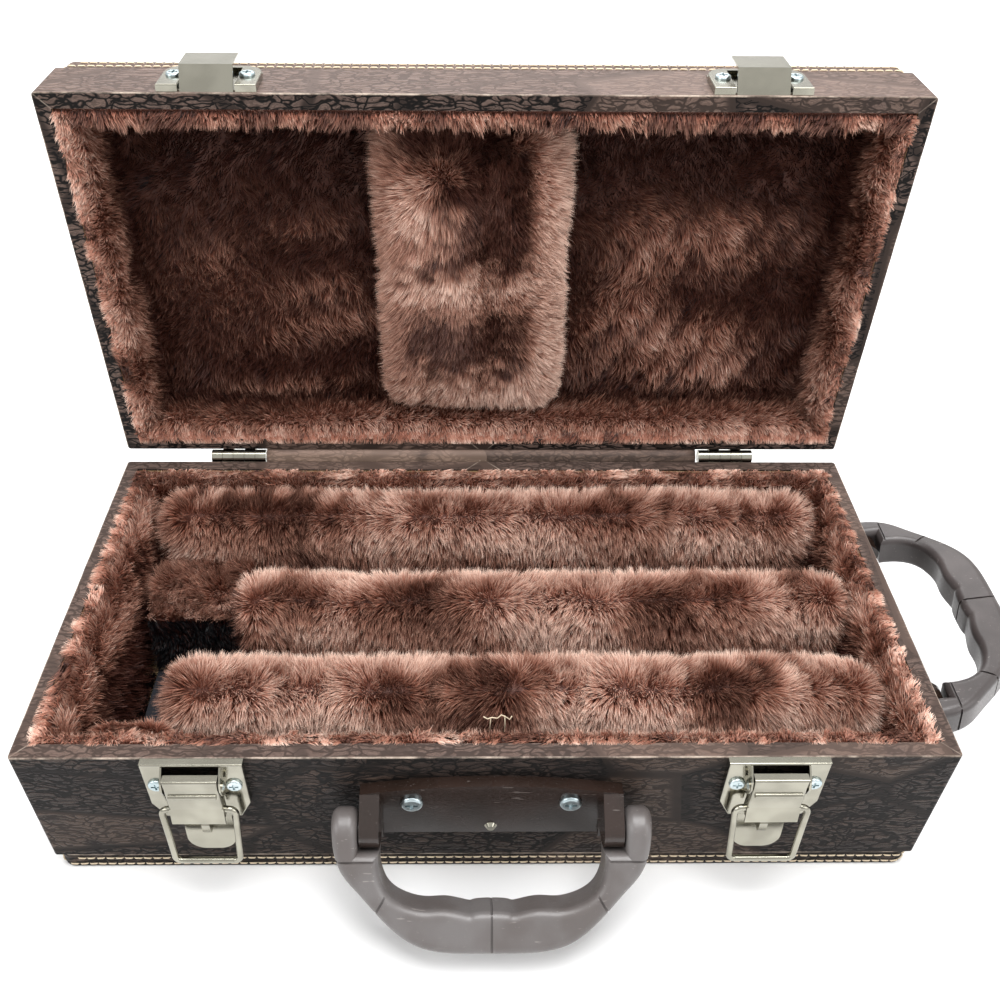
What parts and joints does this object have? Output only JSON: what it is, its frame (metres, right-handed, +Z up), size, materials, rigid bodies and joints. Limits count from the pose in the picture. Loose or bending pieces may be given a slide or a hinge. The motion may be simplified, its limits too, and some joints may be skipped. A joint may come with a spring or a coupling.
{
  "type": "clarinet case",
  "caption": "Hinged hard case for a dismantled clarinet, with a fur-lined, ridged interior, draw latches with wire bails and swinging carry handles.",
  "frame": {"origin": "the middle of the base's underside", "axes": "+Z up, +X along the case to its right end, +Y from the latches to the hinges"},
  "size_m": [0.4183, 0.2669, 0.2692],
  "materials": {
    "leatherette": "embossed brown leatherette with a crackled dark grain",
    "smooth_leatherette": "smoother brown leatherette",
    "plywood": "bare poplar plywood",
    "fur_pile": "long brown plush pile with pale tips",
    "navy_plush": "short dark navy plush",
    "nickel": "bright nickel-plated pressed steel",
    "zinc": "blue-white zinc-plated screws",
    "handle_plastic": "semi-gloss dark grey-brown moulded plastic",
    "bracket_plastic": "glossy dark brown moulded plastic"
  },
  "bodies": {
    "base": {"base_front_wall": "plywood", "base_back_wall": "plywood", "base_left_wall": "plywood", "base_right_wall": "plywood", "base_bottom_board": "plywood", "base_bottom_cap": "leatherette", "base_covering": "leatherette", "base_front_liner": "fur_pile", "base_back_liner": "fur_pile", "base_left_liner": "fur_pile", "base_right_liner": "fur_pile", "base_floor_liner": "fur_pile", "bell_well_floor": "navy_plush", "back_ridge": "fur_pile", "middle_ridge": "fur_pile", "front_ridge": "fur_pile", "front_end_block": "fur_pile", "barrel_shelf": "fur_pile", "hinge_left_lower": "nickel", "hinge_right_lower": "nickel", "hinge_pins": "nickel", "hinge_lower_rivets": "nickel", "hinge_strip_lower": "smooth_leatherette", "latch_left_pan": "nickel", "latch_right_pan": "nickel", "latch_pivot_pins": "nickel", "latch_screws": "zinc", "front_handle_bracket": "bracket_plastic", "side_handle_bracket": "bracket_plastic", "front_bracket_screws": "zinc", "side_bracket_screws": "zinc", "front_bracket_rivet": "nickel", "side_bracket_rivet": "nickel"},
    "lid": {"lid_front_wall": "plywood", "lid_back_wall": "plywood", "lid_left_wall": "plywood", "lid_right_wall": "plywood", "lid_top_board": "plywood", "lid_top_cap": "leatherette", "lid_covering": "leatherette", "lid_front_liner": "fur_pile", "lid_back_liner": "fur_pile", "lid_left_liner": "fur_pile", "lid_right_liner": "fur_pile", "lid_roof_liner": "fur_pile", "lid_centre_pad": "fur_pile", "keeper_left": "nickel", "keeper_right": "nickel", "keeper_screws": "zinc", "hinge_left_upper": "nickel", "hinge_right_upper": "nickel", "hinge_upper_rivets": "nickel", "hinge_strip_upper": "smooth_leatherette"},
    "left_lever": {"latch_left_lever": "nickel"},
    "right_lever": {"latch_right_lever": "nickel"},
    "left_bail": {"latch_left_bail": "nickel"},
    "right_bail": {"latch_right_bail": "nickel"},
    "front_grip": {"front_handle_grip": "handle_plastic"},
    "side_grip": {"side_handle_grip": "handle_plastic"}
  },
  "joints": [
    {"name": "lid_hinge", "type": "hinge", "parent": "base", "child": "lid", "pos_m": [0, 0.0932, 0.078], "axis": [1, 0, 0], "range_deg": [0, 90]},
    {"name": "left_lever_pivot", "type": "hinge", "parent": "base", "child": "left_lever", "pos_m": [-0.111, -0.0955, 0.069], "axis": [1, 0, 0], "range_deg": [-130, 0]},
    {"name": "left_bail_pivot", "type": "hinge", "parent": "left_lever", "child": "left_bail", "pos_m": [-0.111, -0.096, 0.055], "axis": [-1, 0, 0], "range_deg": [-8, 176.8]},
    {"name": "right_lever_pivot", "type": "hinge", "parent": "base", "child": "right_lever", "pos_m": [0.11, -0.0955, 0.069], "axis": [1, 0, 0], "range_deg": [-130, 0]},
    {"name": "right_bail_pivot", "type": "hinge", "parent": "right_lever", "child": "right_bail", "pos_m": [0.11, -0.096, 0.055], "axis": [-1, 0, 0], "range_deg": [-8, 176.8]},
    {"name": "front_handle_pivot", "type": "hinge", "parent": "base", "child": "front_grip", "pos_m": [0.0016, -0.1005, 0.048], "axis": [-1, 0, 0], "range_deg": [-19, 110]},
    {"name": "side_handle_pivot", "type": "hinge", "parent": "base", "child": "side_grip", "pos_m": [0.1915, 0.0075, 0.048], "axis": [0, -1, 0], "range_deg": [-81, 48]}
  ]
}
